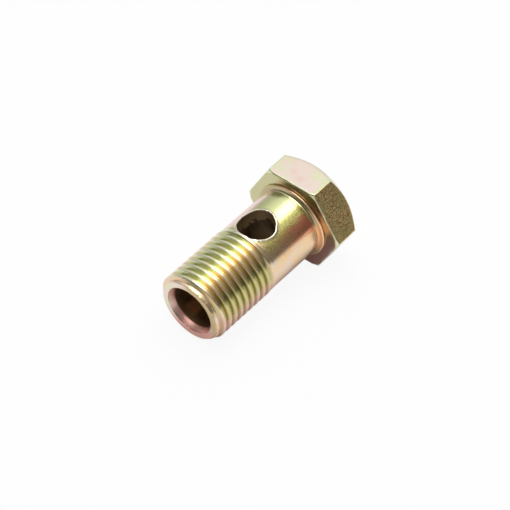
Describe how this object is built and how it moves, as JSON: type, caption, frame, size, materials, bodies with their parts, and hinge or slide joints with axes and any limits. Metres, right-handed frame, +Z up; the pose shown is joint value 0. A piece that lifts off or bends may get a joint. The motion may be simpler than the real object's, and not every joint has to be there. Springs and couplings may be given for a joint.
{
  "type": "banjo bolt",
  "caption": "Hollow hex-head bolt with a blind axial bore, a cross hole and a fine metric thread, for clamping a banjo fitting.",
  "frame": {"origin": "on the resting plane, under the middle of the bolt's box", "axes": "+Z up with the bolt lying at rest, +X from the open end towards the head; the bolt's axis rises 4.94 degrees from +X because the hex flat is wider than the thread"},
  "size_m": [0.0356, 0.0214, 0.0189],
  "materials": {
    "yellow_zinc": "satin yellow passivated zinc plate"
  },
  "bodies": {
    "root": {"banjo_bolt": "yellow_zinc"}
  },
  "joints": []
}
